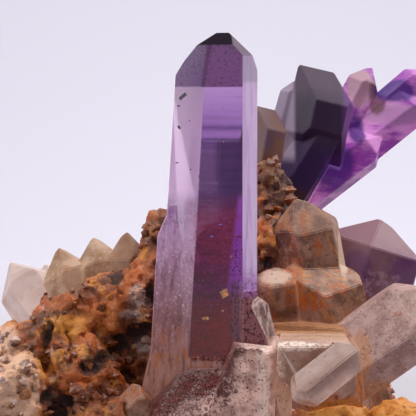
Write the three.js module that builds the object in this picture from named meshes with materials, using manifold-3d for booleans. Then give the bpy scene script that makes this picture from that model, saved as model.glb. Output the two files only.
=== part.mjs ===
// A hand-sized amethyst specimen: one tall amethyst crystal, with milky, stained and
// smoky quartz crystals round it, all grown from a lump of iron-stained quartz rock.
// Millimetres, +Z up. The tall crystal is in front, and -Y faces the viewer.

import * as THREE from "three";
import { ConvexGeometry } from "three/addons/geometries/ConvexGeometry.js";
import { mergeVertices } from "three/addons/utils/BufferGeometryUtils.js";
import Module from "manifold-3d";

const wasm = await Module();
wasm.setup();

// Driving dimensions
const SOCKET_GAP = 0.3; // clearance between a crystal and the stone that it stands in
const HEAD_RISE = 1.27; // rise of quartz's rhombohedral end faces for each mm inwards
const UNDERSIDE_Z = 8; // the level of the flat underside in the numbers below
const TRIM_SIZE = 200; // a block larger than the specimen, which trims its underside

// Faces: a crystal is the space behind all of its flat faces

// The outward direction of a face. Azimuth 0 faces the viewer and 90 faces +X.
// rise is what the face climbs for each mm that it goes inwards.
function facing(azimuth, rise = Infinity) {
  const turn = THREE.MathUtils.degToRad(azimuth);
  const level = new THREE.Vector3(Math.sin(turn), -Math.cos(turn), 0);
  if (rise === Infinity) return level;
  return level.multiplyScalar(rise).add(new THREE.Vector3(0, 0, 1)).normalize();
}

// The same face turned upside down.
function facingDown(azimuth, rise) {
  const out = facing(azimuth, rise);
  return out.setZ(-out.z);
}

function face(normal, through) {
  return new THREE.Plane().setFromNormalAndCoplanarPoint(
    normal.clone().normalize(),
    new THREE.Vector3(...through),
  );
}

function moved(faces, matrix) {
  return faces.map((plane) => plane.clone().applyMatrix4(matrix));
}

function grown(faces, by) {
  return faces.map((plane) => new THREE.Plane(plane.normal, plane.constant - by));
}

// Every point where three faces meet and that lies behind all the others.
function cornersOf(faces) {
  const tolerance = 1e-6;
  const corners = [];
  const solve = new THREE.Matrix3();
  for (let i = 0; i < faces.length; i++)
    for (let j = i + 1; j < faces.length; j++)
      for (let k = j + 1; k < faces.length; k++) {
        const [a, b, c] = [faces[i], faces[j], faces[k]];
        solve.set(
          ...a.normal.toArray(),
          ...b.normal.toArray(),
          ...c.normal.toArray(),
        );
        if (Math.abs(solve.determinant()) < tolerance) continue;
        const corner = new THREE.Vector3(-a.constant, -b.constant, -c.constant);
        corner.applyMatrix3(solve.invert());
        const inside = faces.every((f) => f.distanceToPoint(corner) < tolerance);
        const known = corners.some((p) => p.distanceTo(corner) < tolerance);
        if (inside && !known) corners.push(corner);
      }
  return corners;
}

// Solids: closed meshes that can be joined and cut

const SAME_POINT = 1e-4; // corners closer than this are one corner

function solidOf(geometry) {
  const bare = new THREE.BufferGeometry();
  bare.setAttribute("position", geometry.getAttribute("position"));
  if (geometry.index) bare.setIndex(geometry.index);
  const merged = mergeVertices(bare, SAME_POINT);
  return new wasm.Manifold(
    new wasm.Mesh({
      numProp: 3,
      vertProperties: merged.getAttribute("position").array,
      triVerts: new Uint32Array(merged.index.array),
    }),
  );
}

const crystalSolid = (faces) => solidOf(new ConvexGeometry(cornersOf(faces)));
const joined = (solids) => solids.reduce((whole, solid) => whole.add(solid));

function largestPiece(solid) {
  const pieces = solid.decompose();
  return pieces.reduce((best, p) => (p.volume() > best.volume() ? p : best));
}

function geometryOf(solid) {
  const mesh = solid.getMesh();
  const geometry = new THREE.BufferGeometry();
  geometry.setAttribute(
    "position",
    new THREE.BufferAttribute(new Float32Array(mesh.vertProperties), mesh.numProp),
  );
  geometry.setIndex(new THREE.BufferAttribute(new Uint32Array(mesh.triVerts), 1));
  return geometry;
}

// The same small random numbers on every run.
function seeded(seed) {
  let state = seed >>> 0;
  return () => {
    state = (state + 0x6d2b79f5) >>> 0;
    let t = state;
    t = Math.imul(t ^ (t >>> 15), t | 1);
    t ^= t + Math.imul(t ^ (t >>> 7), t | 61);
    return ((t ^ (t >>> 14)) >>> 0) / 4294967296;
  };
}

// A quartz point: a six-sided prism from foot to tip with six end faces.
// flat scales each side's distance from the axis, and head lowers each end face by
// that many mm, so a crystal can be as uneven as real ones are. Side 0 faces the
// viewer, turned by roll. tail ends the foot in six faces too.
function quartz({
  foot,
  tip,
  width,
  roll = 0,
  flat = [1, 1, 1, 1, 1, 1],
  head = [0, 0.6, 0.1, 0.8, 0.2, 0.5],
  rise = HEAD_RISE,
  taper = 1.5,
  tail = false,
}) {
  const start = new THREE.Vector3(...foot);
  const end = new THREE.Vector3(...tip);
  const length = start.distanceTo(end);
  const along = end.clone().sub(start).normalize();
  const front = new THREE.Vector3(0, -1, 0);
  front.addScaledVector(along, -front.dot(along)).normalize();
  const side = new THREE.Vector3().crossVectors(along, front).normalize();
  const back = front.clone().negate();
  const place = new THREE.Matrix4()
    .makeBasis(side, back, along)
    .setPosition(start);
  const lean = Math.tan(THREE.MathUtils.degToRad(taper));
  const faces = tail ? [] : [face(new THREE.Vector3(0, 0, -1), [0, 0, 0])];
  flat.forEach((share, i) => {
    const azimuth = roll + 60 * i;
    const out = facing(azimuth);
    const wall = facing(azimuth, lean > 0 ? 1 / lean : Infinity);
    const reach = out.clone().multiplyScalar((width / 2) * share);
    faces.push(face(wall, [reach.x, reach.y, length / 2]));
    faces.push(face(facing(azimuth, rise), [0, 0, length - head[i]]));
    if (tail) faces.push(face(facingDown(azimuth, rise), [0, 0, head[(i + 3) % 6]]));
  });
  return moved(faces, place);
}

// The tall amethyst crystal. Its six sides are named as one walks round it: the broad
// front, the narrow right front, right, right back, left back and left.

const TALL_TIP_Z = 77.4;
const TALL_FOOT_Z = 20;
const SIDE_FRONT = -26; // azimuths of the sides, 60 degrees apart
const SIDE_RIGHT_FRONT = 34;
const SIDE_RIGHT = 94;
const SIDE_RIGHT_BACK = 154;
const SIDE_LEFT_BACK = 214;
const SIDE_LEFT = 274;
const LEFT_EDGE = [-6.05, -0.5]; // plan positions of the edges between the sides
const FRONT_EDGE = [3.9, -5.35];
const RIGHT_EDGE = [6.08, -3.9];
const RIGHT_BACK_EDGE = [5.64, 2.4];
const BACK_EDGE = [-0.3, 5.5];
const LEFT_TAPER = 16.8; // rise per mm of the sides that spread towards the foot
const BACK_TAPER = 19;
const LEFT_EDGE_Z = 71; // the levels at which those two edges have these positions
const BACK_EDGE_Z = 69;

function tallSides(spread, inset) {
  const shrink = (normal, [x, y], by) => {
    const level = new THREE.Vector3(normal.x, normal.y, 0).normalize();
    return [x + level.x * by, y + level.y * by];
  };
  const side = (azimuth, edge, z, rise, by) => {
    const normal = facing(azimuth, rise);
    return face(normal, [...shrink(normal, edge, by), z]);
  };
  return [
    side(SIDE_FRONT, LEFT_EDGE, 0, Infinity, -inset),
    side(SIDE_RIGHT_FRONT, FRONT_EDGE, 0, Infinity, -inset),
    side(SIDE_RIGHT, RIGHT_EDGE, 0, Infinity, -inset),
    side(SIDE_RIGHT_BACK, RIGHT_BACK_EDGE, 0, Infinity, -inset),
    side(SIDE_LEFT_BACK, BACK_EDGE, BACK_EDGE_Z, BACK_TAPER, spread),
    side(SIDE_LEFT, LEFT_EDGE, LEFT_EDGE_Z, LEFT_TAPER, spread),
    face(new THREE.Vector3(0, 0, -1), [0, 0, TALL_FOOT_Z]),
  ];
}

// The end faces are uneven: two large ones behind, smaller ones in front, and steep
// narrow faces below them on the left and the right.
function tallHead() {
  return [
    face(facing(SIDE_FRONT, HEAD_RISE), [...LEFT_EDGE, TALL_TIP_Z - 1.9]),
    face(facing(SIDE_RIGHT_FRONT, 1.15), [...FRONT_EDGE, TALL_TIP_Z - 3.5]),
    face(facing(SIDE_RIGHT, 1.0), [5.22, -3, TALL_TIP_Z - 3.4]),
    face(facing(SIDE_RIGHT, 2.84), [6.08, -3, TALL_TIP_Z - 5.8]),
    face(facing(SIDE_RIGHT_BACK, HEAD_RISE), [...RIGHT_BACK_EDGE, TALL_TIP_Z - 8]),
    face(facing(SIDE_LEFT_BACK, HEAD_RISE), [...BACK_EDGE, TALL_TIP_Z - 8]),
    face(facing(SIDE_LEFT, 1.3), [-3.43, 0, TALL_TIP_Z - 1.8]),
    face(facing(SIDE_LEFT, 1.7), [-6.05, 0, TALL_TIP_Z - 6.3]),
  ];
}

// A later growth step that thickens the crystal's lower left and back.
const STEP_TOP_Z = 49.8;
const STEP_OUT = 1.15;
const STEP_RISE = 2.3;
const BURIED = 0.05; // how far the step's other sides lie inside the crystal
function growthStep() {
  return [
    ...tallSides(STEP_OUT, BURIED),
    face(facing(SIDE_LEFT, STEP_RISE), [-7.4, 0, STEP_TOP_Z]),
    face(facing(SIDE_LEFT_BACK, STEP_RISE), [-1.6, 6.6, STEP_TOP_Z]),
    face(new THREE.Vector3(0, 0, 1), [0, 0, STEP_TOP_Z + 10]),
  ];
}

// The front face spreads to the right at its foot.
function rightFlare() {
  return [
    face(facing(SIDE_FRONT), [LEFT_EDGE[0], LEFT_EDGE[1] + BURIED, 0]),
    face(facing(SIDE_RIGHT_FRONT, 2.1), [4.4, -5.5, 38.4]),
    face(facing(SIDE_RIGHT, 7), [6.2, -3, 38]),
    face(facing(SIDE_RIGHT_BACK), [...RIGHT_BACK_EDGE.map((c) => c - BURIED), 0]),
    face(facing(SIDE_LEFT), [0, 0, 0]),
    face(new THREE.Vector3(0, 0, 1), [0, 0, 46]),
    face(new THREE.Vector3(0, 0, -1), [0, 0, TALL_FOOT_Z]),
  ];
}

// The frosted root, a stout limb that spreads out to the lower left.
const ROOT_FOOT_Z = 13;
function frostedRoot() {
  return [
    face(facing(SIDE_FRONT + 12, 8), [...LEFT_EDGE, 31]),
    face(facing(SIDE_LEFT, 4.2), [-9.7, 0, 29.5]),
    face(facing(SIDE_LEFT_BACK, 4.2), [-3.4, 7.4, 29.5]),
    face(facing(SIDE_RIGHT_BACK), [0, 4, 0]),
    face(facing(SIDE_RIGHT), [0, 0, 0]),
    face(new THREE.Vector3(0, 0, 1), [0, 0, 40]),
    face(new THREE.Vector3(0, 0, -1), [0, 0, ROOT_FOOT_Z]),
  ];
}

const tallCrystal = [
  [...tallSides(0, 0), ...tallHead()],
  growthStep(),
  rightFlare(),
  frostedRoot(),
];

// The crystals round it, from the front to the back. Each entry is one solid, made
// of one or more crystals that have grown into each other.

const MILKY_RIDGE = [7.0, -9.6];
const milkySides = [
  face(facing(-14), [...MILKY_RIDGE, 0]),
  face(facing(46), [...MILKY_RIDGE, 0]),
  face(facing(106), [11.2, -5.4, 0]),
  face(facing(166), [8, 3.5, 0]),
  face(facing(226), [-6, 5, 0]),
  face(new THREE.Vector3(0, 0, -1), [0, 0, UNDERSIDE_Z]),
];
const milkyFoot = [
  // Its low left shoulder, and the higher part that ends level against the tall crystal
  [
    ...milkySides,
    face(facing(286), [-10.6, -4, 0]),
    face(facing(300, 1.35), [-4.3, -2.4, 27.4]),
    face(new THREE.Vector3(-0.407, -0.725, 0.556), [-4.3, -1.65, 27.2]),
    face(facing(94), [3, 0, 0]),
  ],
  [
    ...milkySides,
    face(facing(275, 2.6), [1.3, -5, 28.2]),
    face(facing(40, 1.2), [...MILKY_RIDGE, 30.4]),
    face(facing(0, 0.12), [4, -8, 31.2]),
  ],
  // A clear sliver that leans on the tall crystal's right edge
  quartz({ foot: [8.0, -5.8, 30], tip: [5.9, -5.5, 39], width: 2.5, roll: 24 }),
  // A chip on the ridge's shoulder
  quartz({ foot: [9.6, -5.4, 26], tip: [8.8, -7.0, 33.4], width: 3.2, roll: 10 }),
];

const clearCrystal = [
  quartz({
    foot: [10.5, -13.2, 23.7],
    tip: [21.3, -8.8, 31.5],
    width: 5.3,
    roll: 22,
    rise: 0.7,
    flat: [0.9, 1, 0.9, 0.9, 1, 0.9],
    head: [0.3, 1.1, 0, 0.5, 1.2, 0.3],
    taper: 0.5,
    tail: true,
  }),
];

const stubCrystal = [
  quartz({
    foot: [-12.6, -2.4, 12],
    tip: [-11.9, -2.8, 26.2],
    width: 4.9,
    roll: 14,
    head: [0, 0.4, 1.2, 0, 0.4, 1.4],
  }),
];

const blockyCrystal = [
  [
    face(facing(3), [14, -9, 0]),
    face(facing(2, 0.55), [14, -9, 31.4]),
    face(facing(2, 0.1), [14, -6.4, 32.9]),
    face(facing(-70), [9.0, -8.4, 0]),
    face(facingDown(-50, 1.1), [10.4, -8.6, 26.6]),
    face(facing(76), [20.8, -7, 0]),
    face(facing(80, 1.2), [20.6, -8.2, 30.4]),
    face(facing(176), [14, 4, 0]),
    face(facingDown(20, 0.5), [17, -8, 23.2]),
  ],
];

const rightPrism = [
  quartz({
    foot: [11, 4.6, 19.5],
    tip: [37.2, -2, 39],
    width: 13.6,
    roll: 26,
    flat: [1, 0.66, 1.05, 1, 1, 0.95],
    head: [1.2, 3.4, 2.2, 1.4, 0, 0.4],
    taper: 0.6,
  }),
];

const stainedCrystal = [
  quartz({
    foot: [17.6, 12.5, 22],
    tip: [12.7, 8.4, 52.8],
    width: 10.4,
    roll: 18,
    rise: 0.95,
    head: [0.6, 0, 0.8, 0.6, 0.2, 0],
  }),
  quartz({
    foot: [21.4, 8.6, 13],
    tip: [14.2, 6.6, 45.6],
    width: 13,
    roll: 34,
    rise: 0.8,
    head: [2.6, 1.4, 1.4, 1.6, 0, -0.4],
  }),
  quartz({
    foot: [10.6, 6.8, 24],
    tip: [8.9, 2.7, 42.4],
    width: 7,
    roll: 14,
    rise: 0.6,
    head: [0.4, 0, 0.4, 0.6, 0, 0.2],
  }),
];

const smokyCrystal = [
  quartz({
    foot: [4.6, 17.6, 42],
    tip: [9.2, 20, 66.2],
    width: 5.8,
    roll: 24,
    head: [0.4, 0, 0, 0.4, -2.6, -2.6],
  }),
];

// A sceptre: a thick dark head that grew over a thinner stem, with a pale side crystal.
const darkSceptre = [
  quartz({ foot: [5.4, 19.4, 43], tip: [19.6, 22.2, 66], width: 6.6, roll: 18 }),
  quartz({
    foot: [14.8, 21.6, 56.6],
    tip: [18.4, 22.2, 73.1],
    width: 9.2,
    roll: 16,
    rise: 1.15,
    head: [1.2, 0.4, 0, 1.2, -4.4, -4.4],
    flat: [0.95, 1, 0.95, 0.95, 1, 0.95],
    taper: 1,
    tail: true,
  }),
  quartz({ foot: [8.6, 21.8, 52], tip: [13.5, 23, 71.2], width: 4.4, roll: 4 }),
];

const rearSpray = [
  quartz({ foot: [5, 24, 46], tip: [28, 28, 62.4], width: 7.2, roll: 10 }),
  quartz({ foot: [6, 26, 47], tip: [35.6, 32, 69], width: 7.4, roll: 30 }),
  quartz({ foot: [9, 27, 49], tip: [36, 33, 72.6], width: 5.8, roll: 0 }),
  quartz({ foot: [13, 27.5, 48], tip: [26.0, 30, 73.2], width: 5.6, roll: 20 }),
];

const lilacCrystal = [
  quartz({
    foot: [17.2, 18.6, 18],
    tip: [26.8, 20, 49],
    width: 16,
    roll: 22,
    rise: 0.62,
    head: [0.6, 0.4, 1.2, 0.6, 0.6, 0.6],
  }),
];

const beigeCrystal = [
  quartz({ foot: [-17, 18, 22], tip: [-25.4, 21.4, 44.2], width: 7.8, roll: 20 }),
  quartz({ foot: [-15, 18, 24], tip: [-19.6, 20, 46], width: 7.8, roll: 0 }),
  quartz({ foot: [-12, 17, 24], tip: [-14.2, 18.4, 47], width: 7.4, roll: 35 }),
];

const paleCrystal = [
  quartz({ foot: [-19, 22, 20], tip: [-34.4, 33, 40.8], width: 8.8, roll: 12 }),
  quartz({ foot: [-18, 24, 20], tip: [-28.6, 31.6, 40.6], width: 7.4, roll: 40 }),
];

// The rock: lumps of massive quartz that have grown into one mass, with a crust of
// small stained crystals, cut flat underneath.

const LUMP_POINTS = 26;
const LUMPS = [
  // The body, and its back
  { at: [-1, 13, 13], size: [33, 18, 13], crust: 18 },
  { at: [-2, 18, 24], size: [24, 13, 14], crust: 8 },
  { at: [2, -5, 11.5], size: [15, 8, 6.5], crust: 5 },
  { at: [-19, 5, 12], size: [15, 12, 9], crust: 8 },
  { at: [18, 4, 12], size: [16, 12, 9], crust: 8 },
  { at: [17.4, 17, 19], size: [11.6, 11, 13], crust: 9 },
  { at: [-13, 26, 22], size: [9, 7, 11], crust: 5 },
  { at: [3, 28, 21], size: [10, 6.6, 12], crust: 6 },
  { at: [-25, 19, 16], size: [8, 8, 9], crust: 4 },
  { at: [14, 27, 16], size: [9, 6.6, 10], crust: 5 },
  // The left of the rock
  { at: [-23.5, 9.5, 30], size: [6.6, 5.6, 8], crust: 4 },
  { at: [-30, 8.5, 26.5], size: [5, 6, 7.6], crust: 3 },
  { at: [-16.4, 12, 34], size: [6.4, 5.4, 7.4], crust: 3 },
  { at: [-10.6, 11, 36.6], size: [4.6, 5, 8], crust: 3 },
  { at: [-8.6, 14.2, 43.6], size: [4, 4.6, 7.4], crust: 1 },
  { at: [-30, 2, 21.5], size: [6.4, 6.6, 8.4], crust: 3 },
  { at: [-20.5, 5, 23.5], size: [7, 5.5, 8], crust: 4 },
  { at: [-17.5, 0.5, 17.5], size: [8, 6, 6.6], crust: 3 },
  // Behind the tall crystal and to its right
  { at: [7, 18, 35], size: [12, 11, 16], crust: 7 },
  { at: [8.2, 14.6, 49], size: [5, 5, 10.4], crust: 0 },
  { at: [9.0, 9.2, 45.8], size: [4.4, 3.6, 4.6], crust: 0 },
  { at: [9.6, 4.2, 36.6], size: [4.3, 3.8, 5.8], crust: 0 },
  { at: [17, -2.4, 19], size: [6.6, 5.6, 5.4], crust: 3 },
  { at: [27.6, -1.6, 17], size: [6.4, 6.6, 6.2], crust: 4 },
  // Round the feet of the rear crystals
  { at: [8, 25, 41], size: [9, 7, 10], crust: 1 },
];
const CRUST_WIDTH = [0.4, 0.85]; // of the lump's smallest half size
const CRUST_MAX_LUMP = 8; // a lump larger than this has no larger crystals
const CRUST_LOWEST = -0.25; // how far below its middle a lump has crystals, of its half height
const CRUST_LEAN = 0.9; // how unevenly they lean
const CRUST_DEPTH = 1.1; // how deep they start, of their width
const CRUST_STAND = [1, 0.4]; // how far they stand out: mm, and at most this much of their width

// Points spread evenly over a ball, each pushed in or out a little, as an angular lump.
function lump({ at, size }, random) {
  const points = [];
  const turn = Math.PI * (3 - Math.sqrt(5));
  for (let i = 0; i < LUMP_POINTS; i++) {
    const z = 1 - (2 * i + 1) / LUMP_POINTS;
    const radius = Math.sqrt(1 - z * z);
    const angle = i * turn + 0.7 * random();
    const reach = 0.88 + 0.2 * random();
    points.push(
      new THREE.Vector3(
        at[0] + size[0] * reach * radius * Math.cos(angle),
        at[1] + size[1] * reach * radius * Math.sin(angle),
        at[2] + size[2] * reach * z,
      ),
    );
  }
  return solidOf(new ConvexGeometry(points));
}

// The small crystals that cover a lump, leaning outwards from it.
function crustOf({ at, size, crust }, random) {
  return Array.from({ length: crust }, () => {
    const z = THREE.MathUtils.lerp(CRUST_LOWEST, 1, random());
    const angle = 2 * Math.PI * random();
    const level = Math.sqrt(1 - Math.min(1, z * z));
    const out = new THREE.Vector3(
      size[0] * level * Math.cos(angle),
      size[1] * level * Math.sin(angle),
      size[2] * z,
    );
    const surface = new THREE.Vector3(...at).add(out);
    const lean = new THREE.Vector3(random() - 0.5, random() - 0.5, random() - 0.2);
    const way = out.clone().normalize().addScaledVector(lean, CRUST_LEAN).normalize();
    const share = THREE.MathUtils.lerp(...CRUST_WIDTH, random());
    const width = share * Math.min(...size, CRUST_MAX_LUMP);
    const stand = CRUST_STAND[0] + CRUST_STAND[1] * width * random();
    return quartz({
      foot: surface.clone().addScaledVector(way, -width * CRUST_DEPTH).toArray(),
      tip: surface.clone().addScaledVector(way, stand).toArray(),
      width,
      roll: 60 * random(),
      rise: 0.95 + 0.3 * random(),
      head: Array.from({ length: 6 }, () => 0.25 * width * random()),
    });
  });
}

function rock(sockets) {
  const random = seeded(20);
  const lumps = LUMPS.map((each) => lump(each, random));
  const crust = LUMPS.flatMap((each) => crustOf(each, random)).map(crystalSolid);
  const above = new THREE.BoxGeometry(TRIM_SIZE, TRIM_SIZE, TRIM_SIZE);
  above.translate(0, 0, UNDERSIDE_Z + TRIM_SIZE / 2);
  const whole = joined([...lumps, ...crust]).intersect(solidOf(above));
  return largestPiece(sockets.reduce((left, s) => left.subtract(s), whole));
}

// The specimen, built from the tall crystal outwards. Each solid gives way to those
// before it, so that neighbours meet across the socket gap.

const CRYSTALS = [
  ["tall_amethyst", tallCrystal, 0x9a78b8, 0.08],
  ["milky_foot_crystal", milkyFoot, 0xb89c94, 0.35],
  ["clear_double_crystal", clearCrystal, 0xc4aca2, 0.25],
  ["stub_crystal", stubCrystal, 0x9a7460, 0.4],
  ["blocky_crystal", blockyCrystal, 0xa88c80, 0.35],
  ["right_prism", rightPrism, 0x927068, 0.4],
  ["stained_crystals", stainedCrystal, 0xa8764c, 0.5],
  ["smoky_crystal", smokyCrystal, 0x604650, 0.3],
  ["dark_sceptre", darkSceptre, 0x3a2840, 0.2],
  ["rear_amethyst_spray", rearSpray, 0x7a4a94, 0.2],
  ["lilac_crystal", lilacCrystal, 0x92747e, 0.3],
  ["beige_crystals", beigeCrystal, 0xbaa194, 0.45],
  ["pale_crystals", paleCrystal, 0xd7c5c0, 0.4],
];
const ROCK_COLOUR = 0x8a5230;
const ROCK_ROUGHNESS = 0.75;

function nodeMesh(name, solid, color, roughness) {
  const material = new THREE.MeshStandardMaterial({ color, roughness, metalness: 0 });
  material.flatShading = true;
  const mesh = new THREE.Mesh(geometryOf(solid), material);
  mesh.name = name;
  return mesh;
}

const cluster = new THREE.Group();
const sockets = [];
for (const [name, crystals, color, roughness] of CRYSTALS) {
  const whole = joined(crystals.map(crystalSolid));
  const solid = largestPiece(sockets.reduce((left, s) => left.subtract(s), whole));
  cluster.add(nodeMesh(name, solid, color, roughness));
  sockets.push(joined(crystals.map((c) => crystalSolid(grown(c, SOCKET_GAP)))));
}
cluster.add(nodeMesh("rock", rock(sockets), ROCK_COLOUR, ROCK_ROUGHNESS));

// The origin is under the middle of the specimen, on the surface that it rests on.
const bounds = new THREE.Box3().setFromObject(cluster, true);
const middle = bounds.getCenter(new THREE.Vector3());
cluster.position.set(-middle.x, -middle.y, -bounds.min.z);

export default cluster;
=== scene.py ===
import math
import random

import bmesh
import bpy
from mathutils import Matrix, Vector, noise
from mathutils.bvhtree import BVHTree


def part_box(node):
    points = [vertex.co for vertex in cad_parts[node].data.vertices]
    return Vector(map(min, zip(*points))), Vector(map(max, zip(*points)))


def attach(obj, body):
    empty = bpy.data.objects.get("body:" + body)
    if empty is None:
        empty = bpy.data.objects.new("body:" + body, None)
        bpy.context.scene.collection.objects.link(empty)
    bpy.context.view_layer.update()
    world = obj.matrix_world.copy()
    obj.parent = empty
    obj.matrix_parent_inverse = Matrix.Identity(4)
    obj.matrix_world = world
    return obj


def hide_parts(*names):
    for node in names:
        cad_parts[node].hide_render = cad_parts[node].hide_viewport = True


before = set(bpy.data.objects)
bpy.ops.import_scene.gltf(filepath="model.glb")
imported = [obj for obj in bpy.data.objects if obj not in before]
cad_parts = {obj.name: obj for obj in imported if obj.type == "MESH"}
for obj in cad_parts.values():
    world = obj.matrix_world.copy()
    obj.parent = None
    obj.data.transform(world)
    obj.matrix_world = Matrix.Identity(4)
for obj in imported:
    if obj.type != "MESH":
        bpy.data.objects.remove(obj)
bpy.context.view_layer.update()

# The picture. The specimen stands on a pale sheet that curves up behind it, in soft
# light from above and from both sides, seen almost level through a long lens. Places
# are in mm from a point under the tall crystal.

MM = 0.001
TALL_CRYSTAL_CORNER = (9.119, 8.379, 77.359)  # the highest corner of its box
ORIGIN = Vector(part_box("tall_amethyst")[1]) - Vector(TALL_CRYSTAL_CORNER) * MM
LOOK_AT = (-1.2, 0, 51.2)
CAMERA_RISE = math.radians(3)
CAMERA_DISTANCE = 300
LENS_MM = 173.1
SENSOR_MM = 36
NEAREST_SEEN = 10  # what is nearer to the lens isn't drawn
SHEET_COLOUR = (214, 211, 221)
SHEET_NEAR_COLOUR = (160, 157, 165)
ROOM_COLOUR = (233, 231, 240)
ROOM_STRENGTH = 0.48


def linear(rgb):
    """A colour as seen on a screen, 0 to 255, as shares of red, green and blue light."""
    shares = [c / 255 for c in rgb]
    return (*(s / 12.92 if s < 0.04045 else ((s + 0.055) / 1.055) ** 2.4 for s in shares), 1.0)


def spot(place):
    return ORIGIN + Vector(place) * MM


def placed(obj):
    bpy.context.scene.collection.objects.link(obj)
    return obj


def aimed(obj, place, target):
    obj.location = place
    obj.rotation_euler = (target - place).to_track_quat("-Z", "Y").to_euler()
    return placed(obj)


def softbox(name, place, size, watts, colour, target=(0, 5, 40)):
    lamp = bpy.data.lights.new(name, "AREA")
    lamp.shape = "RECTANGLE"
    lamp.size, lamp.size_y = size[0] * MM, size[1] * MM
    lamp.energy = watts
    lamp.color = linear(colour)[:3]
    return aimed(bpy.data.objects.new(name, lamp), spot(place), spot(target))


long_lens = bpy.data.cameras.new("long_lens")
long_lens.lens = LENS_MM
long_lens.sensor_width = SENSOR_MM
long_lens.clip_start = NEAREST_SEEN * MM
eye = Vector((0, -math.cos(CAMERA_RISE), math.sin(CAMERA_RISE))) * CAMERA_DISTANCE * MM
camera = bpy.data.objects.new("long_lens", long_lens)
bpy.context.scene.camera = aimed(camera, spot(LOOK_AT) + eye, spot(LOOK_AT))
bpy.context.scene.view_settings.view_transform = "Standard"

softbox("overhead_softbox", (130, 20, 420), (460, 560), 2.4, (255, 251, 244))
softbox("left_softbox", (-360, -60, 190), (260, 320), 1.08, (255, 252, 250))
softbox("right_softbox", (300, 190, 210), (260, 320), 0.7, (255, 251, 246))
softbox("sheet_softbox", (90, 330, 430), (800, 160), 1.28, (248, 251, 255), (60, 570, 40))

room = bpy.data.worlds.new("pale_room")
room.use_nodes = True
background = room.node_tree.nodes["Background"].inputs
background["Color"].default_value = linear(ROOM_COLOUR)
background["Strength"].default_value = ROOM_STRENGTH
bpy.context.scene.world = room

SHEET_WIDTH = 1800
SHEET_FRONT = -500
SHEET_NEAR = 110  # up to here it is greyer, as it lies in the specimen's shade
SHEET_BEND = 420
SHEET_BEND_RADIUS = 260
SHEET_TOP = 1100
SHEET_STEPS = 24
PAPER_ROUGHNESS = 0.9


def sheet_side_view():
    """The sheet's side view as (y, z) in mm: level, a quarter circle, upright."""
    turns = [math.pi / 2 * i / SHEET_STEPS for i in range(SHEET_STEPS + 1)]
    bend = [
        (SHEET_BEND + SHEET_BEND_RADIUS * math.sin(turn), SHEET_BEND_RADIUS * (1 - math.cos(turn)))
        for turn in turns
    ]
    top = (SHEET_BEND + SHEET_BEND_RADIUS, SHEET_TOP)
    return [(SHEET_FRONT, 0), (SHEET_NEAR, 0), *bend, top]


side_view = sheet_side_view()
sheet_mesh = bpy.data.meshes.new("paper_sheet")
sheet_mesh.from_pydata(
    [(side * SHEET_WIDTH / 2 * MM, y * MM, z * MM) for y, z in side_view for side in (-1, 1)],
    [],
    [(2 * i, 2 * i + 1, 2 * i + 3, 2 * i + 2) for i in range(len(side_view) - 1)],
)
shades = sheet_mesh.color_attributes.new("shade", "FLOAT_COLOR", "POINT")
for vertex, shade in zip(sheet_mesh.vertices, shades.data):
    near = vertex.co.y < (SHEET_NEAR + 1) * MM
    shade.color = linear(SHEET_NEAR_COLOUR if near else SHEET_COLOUR)
sheet_mesh.shade_smooth()
pale_paper = bpy.data.materials.new("pale_paper")
pale_paper.use_nodes = True
tree = pale_paper.node_tree
paper = tree.nodes["Principled BSDF"].inputs
shade = tree.nodes.new("ShaderNodeVertexColor")
shade.layer_name = "shade"
tree.links.new(shade.outputs["Color"], paper["Base Color"])
paper["Roughness"].default_value = PAPER_ROUGHNESS
sheet_mesh.materials.append(pale_paper)
placed(bpy.data.objects.new("paper_sheet", sheet_mesh))

# The rock: massive quartz stained by iron, orange, brown and beige, rough and pitted,
# sawn flat underneath. All the crystals grow from it. Its solid is given an even fine
# mesh, and then broken facets and pits.

ROCK_GRID = 0.46
ROCK_SWELL = 0.2  # closes most of the gap between the rock's solid and a crystal's
ROCK_LUMPS = [(0.7, 4.5), (0.3, 1.7)]  # height and size
ROCK_FLATS = [(0.42, 3.4, 5), (0.13, 1.4, 9)]  # height, size and seed
FLAT_TILT = 2.4
FLAT_SPREAD = 7.3  # gives neighbouring flats different tilts
ROCK_SHARP = math.radians(38)  # edges that bend more than this stay sharp
PIT_DEPTH = 1.5
PIT_STEEP = 2.2
PIT_RIM = 0.35  # how ragged it is
PIT_RIM_SIZE = 1.2
CALM = 0.45  # up to this far in mm from a crystal the rock has no relief of its own
CALM_FADE = 1.2
UNDERSIDE_Z = 8
UNDERSIDE_CALM = 0.3
UNDERSIDE_FADE = 1.5
QUARTZ_IOR = 1.544
LIGHT_DEPTH = 0.9  # how far in mm light sinks into cloudy quartz
LIGHT_DEPTH_SHARES = (1, 0.8, 0.75)  # of red, green and blue
NOISE_ROUGHNESS = 0.6
AREA_RIM = (1.15, 0.75)  # in half sizes, where an area begins and where it is full
SAME_CORNER = 0.004
SAME_FACE = math.radians(0.5)
ROCK_ORANGE = (166, 80, 14)
ROCK_BROWN = (92, 42, 14)
ROCK_OCHRE = (208, 136, 46)
ROCK_BEIGE = (208, 166, 138)
ROCK_GREY = (166, 146, 140)
ROCK_DARK = (44, 16, 8)
ROCK_PIT_SHADE = (52, 33, 31)
ROCK_WINE = (60, 16, 18)
BEIGE_AREAS = [((-31, -4, 25), (5, 9, 9)), ((-34, 3, 32), (4, 6, 4))]
OCHRE_AREAS = [
    ((-27, -1, 27), (3.4, 5, 1.8)),
    ((-23, 5, 33), (3.4, 5, 1.6)),
    ((24, -4, 19), (12, 8, 6)),
]
DEEP_ORANGE_AREAS = [
    ((-17, 5, 35), (3.4, 6, 2.4)),
    ((-21, 0, 25), (3, 5, 2)),
    ((-24, 6, 36.5), (2.4, 5, 1.4)),
]
BROWN_AREAS = [((-17, -3, 22.3), (4.2, 5, 2.2)), ((-8, 12, 46.5), (3, 6, 4))]
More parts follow.
